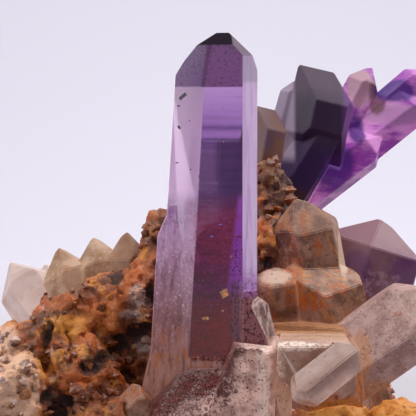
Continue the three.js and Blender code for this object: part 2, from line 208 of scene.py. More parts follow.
GREY_AREAS = [
    ((-12, 7, 37.4), (1.4, 4, 2)),
    ((-11, 8, 29.6), (2.2, 4, 1.2)),
    ((-13, 8, 34.4), (2, 4, 0.8)),
]
PITS = [
    ((-26, 5, 31), (0.9, 5, 2.2)),
    ((-25.5, 5, 32.6), (0.5, 5, 1.2)),
    ((-19, 2, 27.2), (2, 5, 1.6)),
    ((-17, 3, 28.4), (1.4, 5, 1.0)),
    ((-14.6, 7, 29.6), (1.8, 5, 1.9)),
    ((-12.2, 8, 31.4), (1.9, 5, 1.7)),
    ((-10.4, 8, 32.2), (1.6, 5, 1.0)),
    ((-25.3, -1, 22.6), (1.0, 5, 1.6)),
    ((-24.2, -1, 20), (1.8, 5, 2.2)),
    ((8.4, 7, 42.3), (1.7, 5, 1.2)),
    ((-15.5, 9, 40), (1.3, 5, 1.0)),
    ((-9.8, 7, 37.5), (1.3, 5, 2.2)),
    ((-22.5, 2, 22), (2.2, 4, 1.1)),
]


class Tone:
    """What a node gives, such as a mask. Sums and products of tones add Math nodes."""

    def __init__(self, look, socket):
        self.look = look
        self.socket = socket

    def math(self, operation, *values):
        return self.look.node("Math", {"operation": operation}, values)

    def __add__(self, other):
        return self.math("ADD", self, other)

    def __sub__(self, other):
        return self.math("SUBTRACT", self, other)

    def __rsub__(self, other):
        return self.math("SUBTRACT", other, self)

    def __mul__(self, other):
        return self.math("MULTIPLY", self, other)

    __radd__ = __add__
    __rmul__ = __mul__

    def above(self, low, high):
        """0 up to low, 1 from high, and a soft step between. low may be the greater."""
        return self.look.node(
            "MapRange",
            {"interpolation_type": "SMOOTHSTEP"},
            {"Value": self, "From Min": low, "From Max": high},
        )

    def greatest(self, *others):
        most = self
        for other in others:
            most = self.math("MAXIMUM", most, other)
        return most


class Look:
    """A material under way, with the patterns that these stones share, all in mm."""

    def __init__(self, name):
        self.material = bpy.data.materials.new(name)
        self.material.use_nodes = True
        self.tree = self.material.node_tree
        self.tree.nodes.clear()
        place = self.node("TexCoord", out="Object")
        place = self.vector("SUBTRACT", place, ORIGIN)
        self.mm = self.vector("MULTIPLY", place, (1 / MM,) * 3)
        self.x, self.y, self.z = self.node("SeparateXYZ", {}, (self.mm,), out=(0, 1, 2))
        self.grown = self.mm

    def node(self, kind, settings=None, values=(), out=0):
        made = self.tree.nodes.new("ShaderNode" + kind)
        for setting, value in (settings or {}).items():
            if setting == "stops":
                self.set_stops(made.color_ramp, value)
            else:
                setattr(made, setting, value)
        for key, value in values.items() if isinstance(values, dict) else enumerate(values):
            if isinstance(value, Tone):
                self.tree.links.new(value.socket, made.inputs[key])
            elif value is not None:
                made.inputs[key].default_value = value
        if isinstance(out, tuple):
            return [Tone(self, made.outputs[each]) for each in out]
        return None if out is None else Tone(self, made.outputs[out])

    def vector(self, operation, *values, out=0):
        return self.node("VectorMath", {"operation": operation}, values, out)

    def set_stops(self, ramp, stops):
        while len(ramp.elements) < len(stops):
            ramp.elements.new(1)
        for element, (place, colour) in zip(ramp.elements, stops):
            element.position = place
            element.color = colour

    def given(self, name):
        """A value that the mesh keeps for each point or face."""
        return self.node("Attribute", {"attribute_name": name}, out="Fac")

    def ramp(self, tone, stops):
        """Colours along a tone: stops are (value, screen colour)."""
        low, high = stops[0][0], stops[-1][0]
        shares = [((value - low) / (high - low), linear(colour)) for value, colour in stops]
        return self.node("ValToRGB", {"stops": shares}, ((tone - low) * (1 / (high - low)),))

    def grow_along(self, way):
        """Turns the patterns, so that their z runs along the crystal."""
        turn = Vector(way).to_track_quat("Z", "Y").inverted().to_euler()
        self.grown = self.node(
            "VectorRotate",
            {"rotation_type": "EULER_XYZ"},
            {"Vector": self.mm, "Rotation": tuple(turn)},
        )

    def noise(self, size, detail=4, seed=0, stretch=(1, 1, 1), warp=0):
        place = self.vector("MULTIPLY", self.grown, stretch)
        values = {"Vector": place, "W": seed, "Scale": 1 / size, "Detail": detail}
        values |= {"Roughness": NOISE_ROUGHNESS, "Distortion": warp}
        return self.node("TexNoise", {"noise_dimensions": "4D"}, values)

    def areas(self, places, ragged=0.7, grain=1.6):
        """1 inside any of these (middle, half sizes) areas, with ragged borders."""
        wander = (self.noise(grain, seed=7) - 0.5) * ragged
        inside = None
        for middle, halves in places:
            away = self.vector("SUBTRACT", self.mm, middle)
            away = self.vector("MULTIPLY", away, tuple(1 / half for half in halves))
            reach = self.vector("LENGTH", away, out="Value")
            area = (reach + wander).above(*AREA_RIM)
            inside = area if inside is None else inside.greatest(area)
        return inside

    def blend(self, share, one, other):
        one, other = (c if isinstance(c, Tone) else linear(c) for c in (one, other))
        return self.node("Mix", {"data_type": "RGBA"}, {0: share, 6: one, 7: other}, out=2)

    def painted(self, colour, *coats):
        """The colour under coats of others. A coat is (share, colour)."""
        for share, coat in coats:
            colour = self.blend(share, colour, coat)
        return colour

    def bump(self, height, depth):
        """Low relief, depth in mm from height 0 to 1."""
        return self.node("Bump", {}, {"Strength": 1, "Distance": depth * MM, "Height": height})

    def quartz(self, colour, roughness, bump, gloss, body):
        """Quartz. body holds the values of what is under its surface."""
        surface = {"Base Color": colour, "Roughness": roughness, "Normal": bump}
        surface |= {"IOR": QUARTZ_IOR, "Specular IOR Level": gloss}
        return self.node("BsdfPrincipled", {}, surface | body)

    def stone(self, colour, roughness, bump=None, soft=0.0, gloss=0.5):
        """Cloudy stone. soft is how much of the light sinks into it."""
        body = {"Subsurface Weight": soft, "Subsurface Radius": LIGHT_DEPTH_SHARES}
        body["Subsurface Scale"] = LIGHT_DEPTH * MM
        return self.quartz(colour, roughness, bump, gloss, body)

    def finish(self, shader, inside=None):
        self.node("OutputMaterial", {}, {"Surface": shader, "Volume": inside}, out=None)
        return self.material


def piece_of(solid, name):
    """The solid as a new object."""
    mesh = bpy.data.meshes.new(name)
    solid.to_mesh(mesh)
    solid.free()
    return placed(bpy.data.objects.new(name, mesh))


def bare_copy(node, name):
    """The node's solid as a new object, each corner and each flat face once. The corner
    normals that it came with go, as they don't fit edges that are rounded later."""
    solid = bmesh.new()
    solid.from_mesh(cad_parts[node].data)
    bmesh.ops.remove_doubles(solid, verts=solid.verts, dist=SAME_CORNER * MM)
    bmesh.ops.dissolve_limit(solid, angle_limit=SAME_FACE, verts=solid.verts, edges=solid.edges)
    obj = piece_of(solid, name)
    normals = obj.data.attributes.get("custom_normal")
    if normals:
        obj.data.attributes.remove(normals)
    return obj


def belongs(piece, material, node=None):
    """The piece's material, and its place in the specimen."""
    piece.data.materials.clear()
    piece.data.materials.append(material)
    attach(piece, "root")
    if node:
        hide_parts(node)


def evenly_meshed(obj, grid):
    """Gives the object an even mesh with edges about that many mm long."""
    even = obj.modifiers.new("even_mesh", "REMESH")
    even.mode = "VOXEL"
    even.voxel_size = grid * MM
    seen = obj.evaluated_get(bpy.context.evaluated_depsgraph_get())
    obj.data = bpy.data.meshes.new_from_object(seen)
    obj.modifiers.clear()
    return obj.data


def facets(place, size, seed):
    """Height, -1 to 1, of a surface broken into tilted flats about that size across."""
    scaled = place / size + Vector((seed, seed, seed))
    middle = noise.voronoi(scaled)[1][0]
    tilt = noise.cell_vector(middle * FLAT_SPREAD) - Vector((0.5, 0.5, 0.5))
    return FLAT_TILT * (scaled - middle).dot(tilt)


def how_far_in(place, areas):
    """1 in the middle of an area, 0 outside all of them."""
    best = 0
    for middle, halves in areas:
        reach = sum(((p - m) / h) ** 2 for p, m, h in zip(place, middle, halves)) ** 0.5
        best = max(best, 1 - reach)
    return best


def crystal_surfaces():
    corners, faces = [], []
    for name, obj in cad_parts.items():
        if name != "rock":
            start = len(corners)
            corners += [v.co for v in obj.data.vertices]
            faces += [[start + i for i in f.vertices] for f in obj.data.polygons]
    return BVHTree.FromPolygons(corners, faces)


def clamped(share):
    return max(0, min(1, share))


def roughen_rock(mesh):
    """Moves each point of the rock out or in, and keeps the height that it was given."""
    crystals = crystal_surfaces()
    heights = mesh.attributes.new("height", "FLOAT", "POINT")
    outward = [v.normal.copy() for v in mesh.vertices]
    for vertex, way, kept in zip(mesh.vertices, outward, heights.data):
        place = (vertex.co - ORIGIN) / MM
        lumps = sum(high * noise.noise(place / size) for high, size in ROCK_LUMPS)
        broken = sum(high * facets(place, size, seed) for high, size, seed in ROCK_FLATS)
        ragged = PIT_RIM * noise.noise(place / PIT_RIM_SIZE)
        pit = clamped(PIT_STEEP * (how_far_in(place, PITS) + ragged))
        height = lumps + broken - PIT_DEPTH * pit
        kept.value = height
        clear = crystals.find_nearest(vertex.co)[3] / MM
        freedom = clamped((clear - CALM) / CALM_FADE)
        height = height * freedom + ROCK_SWELL * (1 - freedom)
        height *= clamped((place.z - UNDERSIDE_Z - UNDERSIDE_CALM) / UNDERSIDE_FADE)
        vertex.co += way * height * MM


rock = bare_copy("rock", "stained_rock")
roughen_rock(evenly_meshed(rock, ROCK_GRID))
rock.data.shade_smooth()
rock.data.set_sharp_from_angle(angle=ROCK_SHARP)

look = Look("stained_rock")
grain = look.noise(0.5, 3, seed=4)
wine = (look.x - look.z * 0.64).above(-26.2, -25.2) * look.z.above(48.5, 50)
pits = look.areas(PITS, 2.4, 0.9)
colour = look.painted(
    ROCK_ORANGE,
    (look.noise(5, seed=1).above(0.38, 0.58), ROCK_BROWN),
    (look.noise(2.6, seed=2).above(0.52, 0.66) * 0.75, ROCK_OCHRE),
    (look.noise(3.4, seed=3).above(0.58, 0.7) * 0.7, ROCK_BEIGE),
    (look.areas(DEEP_ORANGE_AREAS) * 0.6, ROCK_ORANGE),
    (look.areas(BROWN_AREAS) * 0.6, ROCK_BROWN),
    (look.areas(OCHRE_AREAS) * 0.85, ROCK_OCHRE),
    (look.areas(BEIGE_AREAS) * 0.95, ROCK_BEIGE),
    (wine * look.y.above(7, 9) * 0.9, ROCK_WINE),
    (look.areas(GREY_AREAS, 1.4, 1) * 0.6, ROCK_GREY),
    (grain.above(0.5, 0.8) * 0.5, ROCK_OCHRE),
    (grain.above(0.46, 0.25) * 0.6, ROCK_BROWN),
    # painted shade: the low places of the relief are painted dark
    (look.given("height").above(-0.3, -1.2) * 0.8, ROCK_DARK),
    (look.noise(1.7, seed=12).above(0.62, 0.72) * 0.7, ROCK_DARK),
    # painted shade: the pits are painted dark
    (pits * 0.8, ROCK_PIT_SHADE),
)
relief = look.bump(look.noise(0.35, 3, seed=5), 0.22)
roughness = look.noise(1.1, 3, seed=8).above(0.3, 0.7) * 0.35 + 0.4 + pits * 0.25
material = look.finish(look.stone(colour, roughness, relief, soft=0.12))
belongs(rock, material, "rock")

# The crust of small quartz crystals on the rock, standing out of it at all angles: grey
# and glassy round the dark cavities, beige at the left, rusty elsewhere.

CRUST_COUNT = 620
CRUST_SEED = 5
CRUST_WIDTHS = (0.25, 1.0)
CRUST_LENGTHS = (1.2, 1.9)  # in widths, as are the next three
CRUST_REACHES = (0.8, 1.1)  # from the middle to a corner
CRUST_TIP_ASIDE = 0.4
CRUST_TIP_HEIGHT = 0.9
CRUST_FLATNESS = 0.8
CRUST_FOOT = -0.6  # of the length, the end that is sunk in the rock
CRUST_SHOULDER = 0.3
CRUST_TILT = 0.6
CRUST_PATCHES = (0.05, 0.5)
CRUST_LOWEST = 3  # mm above the underside
CRUST_RUST = (128, 64, 24)
CRUST_TAN = (158, 106, 66)
CRUST_SIDES = 6
CRUST_CLEAR = 1.1  # how far in mm they keep from the large crystals
CRUST_TONES = [
    (0, ROCK_BROWN), (0.3, CRUST_RUST), (0.5, CRUST_TAN), (0.7, ROCK_GREY), (1, ROCK_BEIGE),
]


def small_crystal(solid, tones, place, way, width, tone):
    """A six-sided prism with a point, half sunk in the rock."""
    length = width * random.uniform(*CRUST_LENGTHS)
    turn = way.to_track_quat("Z", "Y")
    rings = []
    for height in (CRUST_FOOT * length, CRUST_SHOULDER * length):
        ring = []
        for i in range(CRUST_SIDES):
            angle = 2 * math.pi * i / CRUST_SIDES
            reach = width * random.uniform(*CRUST_REACHES)
            corner = (math.cos(angle) * reach, math.sin(angle) * reach * CRUST_FLATNESS, height)
            ring.append(solid.verts.new(spot(place + turn @ Vector(corner))))
        rings.append(ring)
    foot, shoulder = rings
    aside = random.uniform(-CRUST_TIP_ASIDE, CRUST_TIP_ASIDE) * width
    tip = Vector((aside, 0, CRUST_SHOULDER * length + width * CRUST_TIP_HEIGHT))
    tip = solid.verts.new(spot(place + turn @ tip))
    faces = [solid.faces.new(foot[::-1])]
    for i in range(CRUST_SIDES):
        after = (i + 1) % CRUST_SIDES
        faces.append(solid.faces.new((foot[i], foot[after], shoulder[after], shoulder[i])))
        faces.append(solid.faces.new((shoulder[i], shoulder[after], tip)))
    tones += [tone] * len(faces)


random.seed(CRUST_SEED)
crystals = crystal_surfaces()
solid = bmesh.new()
tones = []
points = list(rock.data.vertices)
left_to_make = CRUST_COUNT
for vertex in random.sample(points, len(points)):
    place = (vertex.co - ORIGIN) / MM
    if left_to_make == 0:
        break
    patch = noise.noise(place / 3.5) + 1.2 * how_far_in(place, GREY_AREAS)
    free = crystals.find_nearest(vertex.co)[3] / MM > CRUST_CLEAR
    low = place.z <= UNDERSIDE_Z + CRUST_LOWEST
    if free and not low and patch > random.uniform(*CRUST_PATCHES):
        tilt = Vector([random.uniform(-1, 1) for _ in range(3)])
        way = (vertex.normal + CRUST_TILT * tilt).normalized()
        tone = random.uniform(0, 0.5) + 0.5 * (how_far_in(place, GREY_AREAS + BEIGE_AREAS) > 0)
        tone *= random.uniform(0.8, 1)
        width = CRUST_WIDTHS[0] + (CRUST_WIDTHS[1] - CRUST_WIDTHS[0]) * random.random() ** 2
        small_crystal(solid, tones, place, way, width, tone)
        left_to_make -= 1
crust = piece_of(solid, "small_quartz_crust")
crust.data.attributes.new("tone", "FLOAT", "FACE").data.foreach_set("value", tones)

look = Look("small_quartz")
colour = look.painted(
    look.ramp(look.given("tone"), CRUST_TONES),
    (look.noise(0.8, seed=1).above(0.5, 0.65) * 0.6, ROCK_BROWN),
)
relief = look.bump(look.noise(0.3, 2, seed=2), 0.03)
belongs(crust, look.finish(look.stone(colour, 0.34, relief, soft=0.3)))

# The tall crystal: clear amethyst, glassy, with bands of deeper purple in its back right
# side, rust and painted shade behind its lower half and a frosted root at the lower
# left. It has grown out of the rock, and its edges are sharp.

TALL_EDGE = 0.05
TALL_SHORTEST = 0.1  # edges shorter than this are taken away
NO_LENGTH = 0.02
LEAST_BEND = math.radians(9)  # edges that bend less aren't rounded
CLEAR_GLOSS = 0.35
PURPLE_BODY = (0.47, 0.03, 0.56, 1)  # what goes through it is absorbed to this colour
PURPLE_DENSITY = 38
FRONT_FACE = (-0.438, -0.899, 0.0)  # the outward directions of its sides
BACK_RIGHT = (0.438, 0.899, 0.0)
BACK_LEFT = (-0.559, 0.829, 0.0)
LEFT_SIDE = (-0.9976, -0.0698, 0.0)
FRONT_RIGHT = (0.559, -0.829, 0.0)
FOOT_SIDE = (0.5, -0.75, 0.43)
HEAD_FRONT = (-0.34, -0.71, 0.62)
HEAD_RIGHT_SIDE = (0.7, -0.3, 0.65)
BACK = (0, 1, 0)
UP = (0, 0, 1)
TALL_MIDDLE = (0, 0, 45)
BAND_LEVELS = [
    (26, (84, 34, 30)), (33, (64, 22, 28)), (37, (36, 6, 26)), (42, (64, 20, 46)),
    (48, (78, 30, 42)), (52.5, (34, 8, 36)), (57.5, (36, 10, 44)), (61.5, (36, 8, 58)),
    (61.9, (104, 54, 132)), (62.6, (98, 46, 126)), (63.2, (32, 6, 62)),
    (63.9, (108, 56, 136)), (66, (128, 76, 156)), (69, (160, 106, 180)),
]
RUST_AND_SHADE_LEVELS = [
    (29, (146, 44, 30)), (34, (140, 38, 32)), (36.5, (124, 34, 50)), (39, (106, 24, 72)),
    (42, (118, 28, 78)), (45, (136, 52, 80)), (49, (140, 54, 84)), (52, (106, 30, 84)),
]
NO_TINT = (255, 255, 255)
DARK_BAND = (52, 16, 58)
LIGHT_BAND = (170, 124, 190)
DARK_RIGHT = (18, 0, 26)
FRONT_RIGHT_TINT = (205, 182, 208)
# colours of the painted reflection on the tip's back faces
HEAD_LEFT = (194, 182, 210)
HEAD_RIGHT = (160, 118, 166)
HEAD_GRAIN = (66, 40, 70)
FROST_LEVELS = [
    (18, (164, 118, 98)), (28, (160, 114, 102)), (34, (158, 110, 110)),
    (42, (184, 144, 166)), (50, (212, 182, 218)), (56, (226, 196, 236)),
]
FROST_GRAIN = (246, 236, 246)
DARK_GRAIN = (84, 50, 62)
RUST = (168, 92, 24)
ROOT_DARK = (84, 54, 60)
ROOT_PALE = (186, 156, 160)
# painted shade on the tip's front face and right side
HEAD_TOP = (18, 4, 24)
HEAD_SIDE = (96, 80, 98)
RUST_BLACK = (40, 8, 22)
VIOLET_GRAIN = (134, 74, 164)
DARK_CLOUD = (76, 36, 100)
DARKER_CLOUD = (46, 14, 58)
# painted light on the upper left faces
LEFT_BACKDROP_LIGHT = (252, 240, 255)
FOOT_RED = (124, 78, 82)
FOOT_PURPLE = (126, 72, 122)
BRIGHT_PURPLE = (160, 84, 184)
LILAC_LINES = (176, 140, 196)
# painted light on the front right face, and its tip
PALE_RIGHT = (226, 201, 238)
PALE_RIGHT_TIP = (195, 179, 207)


def rounded(obj, width, shortest, swell=0):
    """Takes edges shorter than shortest away, rounds and marks the others, and moves the
    surface out by swell, all in mm."""
    solid = bmesh.new()
    solid.from_mesh(obj.data)
    mark = solid.faces.layers.float.new("edge")
    bmesh.ops.remove_doubles(solid, verts=solid.verts, dist=shortest * MM)
    bmesh.ops.dissolve_degenerate(solid, edges=solid.edges, dist=NO_LENGTH * MM)
    edges = [e for e in solid.edges if e.is_manifold and e.calc_face_angle() > LEAST_BEND]
    made = bmesh.ops.bevel(
        solid, geom=edges, offset=width * MM, segments=2, affect="EDGES", clamp_overlap=False
    )
    for face in solid.faces:
        face.smooth = False
    for face in made["faces"]:
        face[mark] = 1
    solid.normal_update()
    for vertex in solid.verts:
        vertex.co += vertex.normal * swell * MM
    solid.to_mesh(obj.data)
    solid.free()
    return obj


def outward(look):
    """The face's own direction, the same from inside and outside the crystal."""
    normal = look.node("NewGeometry", out="True Normal")
    from_middle = look.vector("SUBTRACT", look.mm, TALL_MIDDLE)
    side = look.vector("DOT_PRODUCT", normal, from_middle, out="Value")
    return look.vector("MULTIPLY", normal, side.math("SIGN", side))


def facing(look, normal, way, low=0.9, high=0.95):
    """1 on the faces that look that way."""
    return look.vector("DOT_PRODUCT", normal, way, out="Value").above(low, high)


def clear_quartz(look, colour, roughness, bump):
    """Clear quartz. The paint on it tints what goes through it."""
    return look.quartz(colour, roughness, bump, CLEAR_GLOSS, {"Transmission Weight": 1})


def mixed(look, share, one, other):
    return look.node("MixShader", {}, (share, one, other))


def lets_lamps_through(look, shader):
    """Lamp light goes straight through, so that there's no black shadow."""
    lamp = look.node("LightPath", out="Is Shadow Ray")
    return mixed(look, lamp, shader, look.node("BsdfTransparent"))


tall_crystal = bare_copy("tall_amethyst", "tall_amethyst_crystal")
rounded(tall_crystal, TALL_EDGE, TALL_SHORTEST)

look = Look("clear_amethyst")
normal = outward(look)
back_right = facing(look, normal, BACK_RIGHT, 0.8, 0.85)
left = facing(look, normal, BACK_LEFT).greatest(facing(look, normal, LEFT_SIDE))
front_right = facing(look, normal, FRONT_RIGHT, 0.8, 0.85) * look.z.above(39, 39.3)
front = facing(look, normal, FRONT_FACE)
# Painted reflection and shade in the tip: its back faces are painted flat grey-violet, its front
# face near black and its right side grey, for the dark surroundings that it reflects inside.
head_back = facing(look, normal, BACK, 0.1, 0.2) * look.z.above(69.25, 69.4)
head_top = facing(look, normal, HEAD_FRONT)
head_side = facing(look, normal, HEAD_RIGHT_SIDE, 0.7, 0.75) * look.z.above(60, 62)

stripes = look.noise(9, seed=1, stretch=(0.5, 0.5, 12))
wander = (stripes - 0.5) * 1.6 + (look.noise(4, 2, seed=2) - 0.5) * 0.8
dark_right = (look.x + stripes).above(1.2, 2.9) * look.z.above(62, 60.5)
bands = look.painted(
    look.ramp(look.z + wander, BAND_LEVELS),
    (stripes.above(0.5, 0.68) * 0.4, DARK_BAND),
    (stripes.above(0.5, 0.36) * 0.08, LIGHT_BAND),
    (dark_right * 0.7, DARK_RIGHT),
)
bright_strip = (look.x + (52.5 - look.z) * 0.114).above(4.2, 5.1) * back_right
bright_strip = bright_strip * look.z.above(37, 40) * look.z.above(54, 52)
tint = look.painted(NO_TINT, (back_right, bands), (front_right, FRONT_RIGHT_TINT))
grains = look.noise(0.45, seed=14)
head_colour = look.painted(
    HEAD_LEFT,
    (look.x.above(-1.3, -0.7), HEAD_RIGHT),
    (grains.above(0.5, 0.36) * 0.4, HEAD_GRAIN),
)

pale_specks = look.noise(0.36, 5, seed=3).above(0.54, 0.64)
dark_specks = look.noise(0.5, seed=5).above(0.58, 0.68)
scratches = look.noise(0.6, 3, seed=4, stretch=(1, 1, 0.4)).above(0.55, 0.75)
left_part = (0.0726 * look.z - look.x).above(6.31, 6.5)
ledges = facing(look, normal, UP, 0.2, 0.4) * look.z.above(60, 58)
low_left = (look.z.above(57, 47) * left).greatest(ledges)
frost = low_left * (0.5 + 0.4 * look.z.above(52, 42) + 0.3 * pale_specks)
streaks = look.noise(3, seed=9, stretch=(0.5, 0.5, 2.6))
# in part iron stain, in part painted shade: the back right face's lower half is painted rust-brown
# and dark where the dark rock shows through
rusty = back_right * look.z.above(57, 50) * (0.5 + 0.4 * streaks.above(0.38, 0.62))
# painted light: the upper left faces are painted near white, for the bright backdrop that is seen
# through them
left_backdrop_light = left * look.z.above(50, 54)
foot = look.x.above(3.3, 3.9) * (look.z + look.x * 0.9).above(44.5, 43)
foot = foot.greatest(facing(look, normal, FOOT_SIDE, 0.95, 0.97))
on_front = left_part * front * look.z.above(58, 42) * (0.2 + 0.5 * look.noise(0.9, seed=13))
root = look.z.above(29.3, 28.8).greatest(left_part * look.z.above(42, 28))
along_root = look.noise(1.6, 5, seed=8, stretch=(2.2, 2.2, 0.5))
orange = look.noise(1.2, seed=7, stretch=(1.4, 1.4, 0.7)).above(0.52, 0.64)
frost_colour = look.painted(
    look.ramp(look.z + (look.noise(2.4, seed=6) - 0.5) * 8, FROST_LEVELS),
    (pale_specks * look.z.above(28, 38) * 0.65, FROST_GRAIN),
    (dark_specks * 0.5, DARK_GRAIN),
    (along_root.above(0.52, 0.38) * 0.6, ROOT_DARK),
    (along_root.above(0.56, 0.7) * 0.5, ROOT_PALE),
    (orange * look.z.above(40, 25) * 0.85, RUST),
)
violet = grains.above(0.54, 0.62) * look.z.above(33, 39)
glints = look.noise(0.42, 3, seed=16).above(0.6, 0.68)
dark_cloud = look.blend(stripes.above(0.44, 0.64) * 0.5, DARK_CLOUD, DARKER_CLOUD)
strip_specks = bright_strip * look.z.above(49, 44) * grains.above(0.52, 0.6)
strip_rust = bright_strip * look.z.above(48, 43) * glints
rust_and_shade_colour = look.painted(
    look.ramp(look.z + (streaks - 0.5) * 6, RUST_AND_SHADE_LEVELS),
    (grains.above(0.46, 0.34) * 0.5, RUST_BLACK),
    (violet * 0.4, VIOLET_GRAIN),
    (glints * 0.1, FROST_GRAIN),
    (look.z.above(51, 54), dark_cloud),
    (bright_strip * streaks.above(0.3, 0.45), BRIGHT_PURPLE),
    (strip_specks * 0.8, RUST_BLACK),
    (strip_rust * 0.9, RUST),
)
upright_lines = look.noise(0.7, 3, seed=17, stretch=(2, 2, 0.12)).above(0.48, 0.62)
low_specks = look.z.above(44, 40) * grains.above(0.5, 0.38)
pale_colour = look.painted(
    PALE_RIGHT,
    (look.z.above(69.7, 70.3), PALE_RIGHT_TIP),
    (upright_lines * 0.4, LILAC_LINES),
    (look.z.above(43.5, 39.5) * 0.6, BRIGHT_PURPLE),
    (low_specks * 0.5, RUST_BLACK),
)
foot_colour = look.painted(
    FOOT_RED,
    (look.z.above(37.5, 39), FOOT_PURPLE),
    (grains.above(0.5, 0.4) * 0.8, RUST_BLACK),
)
cloud_colour = look.painted(
    frost_colour,
    (back_right, rust_and_shade_colour),
    (left_backdrop_light, LEFT_BACKDROP_LIGHT),
    (foot, foot_colour),
    (head_back, head_colour),
    (head_top, HEAD_TOP),
    (head_side, HEAD_SIDE),
)
cloud_share = frost.greatest(
    rusty,
    root * 0.85,
    bright_strip * 0.7,
    dark_right * back_right * 0.85,
    left_backdrop_light * 0.75,
    head_back,
    head_top,
    on_front,
    head_side * 0.7,
    foot,
)
growth_lines = look.noise(2.2, seed=11, stretch=(0.12, 0.12, 3.5))
relief = look.bump(growth_lines + scratches * 0.35, 0.004)
glassy = clear_quartz(look, tint, scratches * 0.06 + front_right * 0.45, relief)
cloudy = look.stone(cloud_colour, 0.5, relief, soft=0.4, gloss=0.1)
# painted light: the front right face is mostly painted pale lilac, for the bright backdrop that is
# seen through it
right_backdrop_light = look.stone(pale_colour, 0.5, relief, gloss=0.1)
shader = mixed(look, front_right * 0.9, mixed(look, cloud_share, glassy, cloudy), right_backdrop_light)
body = look.node("VolumeAbsorption", {}, {"Color": PURPLE_BODY, "Density": PURPLE_DENSITY})
material = look.finish(lets_lamps_through(look, shader), body)
belongs(tall_crystal, material, "tall_amethyst")

# The crystal at the tall one's foot: cloudy grey-pink quartz with a chipped white ridge.
# Its low left face is dusted with dark red hematite, and a clear sliver and a chip stand
# beside the ridge.

GAP_FILL = 0.14  # each of two neighbours takes up about half the gap between their solids
WORN_SHORTEST = 0.25
MILKY_GREY = (228, 190, 176)
MILKY_PINK = (162, 124, 114)
MILKY_WHITE = (214, 198, 190)
MILKY_TAN = (176, 138, 116)
WORN_EDGE = (222, 204, 192)
DUSTY_RED = (74, 22, 20)
DUSTY_PINK = (126, 74, 68)
SLIVER_DARK = (112, 80, 80)
DARK_SPECK = (54, 31, 30)
DUST_TOP_LEFT = (-9.8, 0, 20.5)  # where the dusty face meets the tall crystal's root
DUST_FROM = (0.558, 0, -0.829)  # away from the root, the way in which the dust thins
DUSTY_RIM = [((2.5, -7.5, 30.6), (2.2, 3, 1.2))]
RIDGE = [((7.0, -9.5, 27), (1.0, 1.2, 8)), ((5, -8, 31.5), (3.5, 3, 0.8))]
# where the right face gets its painted shade
RIGHT_FACE = [((9.6, -7, 22), (2.2, 2.6, 11))]
SLIVER = [((6.9, -5.6, 34.5), (2.0, 1.8, 5.5))]


def veils(look, light, dark, size, seed, fine=0.4):
    """Lighter and darker veils in cloudy quartz, with a fine grain."""
    grain = look.noise(fine, 3, seed=seed + 0.5)
    return look.painted(
        light,
        (look.noise(size, seed=seed).above(0.36, 0.64), dark),
        (grain.above(0.55, 0.8) * 0.4, light),
        (grain.above(0.45, 0.2) * 0.4, dark),
    )


def stained(look, stain, share, size, seed, stretch=(1, 1, 1)):
    """A coat of iron stain in ragged patches, over about that share of the surface."""
    edge = 0.66 - 0.3 * share
    patches = look.noise(size, 5, seed=seed + 0.3, stretch=stretch, warp=0.4)
    return patches.above(edge, edge + 0.12) * 0.85, stain


def streaked(look, light, dark, width, seed):
    """Coats of fine light streaks and of dark ones along the crystal."""
    streaks = look.noise(width, seed=seed + 0.1, stretch=(1, 1, 0.12))
    return (streaks.above(0.52, 0.74) * 0.5, light), (streaks.above(0.46, 0.24) * 0.5, dark)


def specked(look, speck, share, size, seed):
    """A coat of small round specks, in that share of all the places for one."""
    distance, chance = look.node(
        "TexVoronoi",
        {"voronoi_dimensions": "4D"},
        {"Vector": look.grown, "W": seed + 0.7, "Scale": 1 / size},
        out=("Distance", "Color"),
    )
    chance = look.node("SeparateColor", {}, (chance,))
    specks = distance.above(0.42, 0.3) * chance.above(1 - share, 1.02 - share)
    return specks * 0.75, speck


def cloudy_finish(
    look, colour, roughness=0.26, grain=0.05, soft=0.35, clear=0.15, wear=0.12, gloss=0.35
):
    """A satin cloudy surface with pale worn edges. clear is how much of it is see-through."""
    worn = look.given("edge") * look.noise(0.8, seed=15).above(0.4, 0.65)
    colour = look.blend(worn * wear, colour, WORN_EDGE)
    relief = look.bump(look.noise(0.5, 3, seed=9), grain)
    satin = look.noise(1.8, 3, seed=16) * 0.3 + roughness - 0.12
    cloudy = look.stone(colour, satin, relief, soft, gloss)
    glassy = clear_quartz(look, colour, roughness * 0.6, relief)
    return look.finish(lets_lamps_through(look, mixed(look, clear, cloudy, glassy)))


def worn_crystal(node, name, finish, bevel=0.14):
    """The node's solid, a little larger to fill the gap round it, with worn edges."""
    piece = rounded(bare_copy(node, name), bevel, WORN_SHORTEST, GAP_FILL)
    belongs(piece, finish, node)


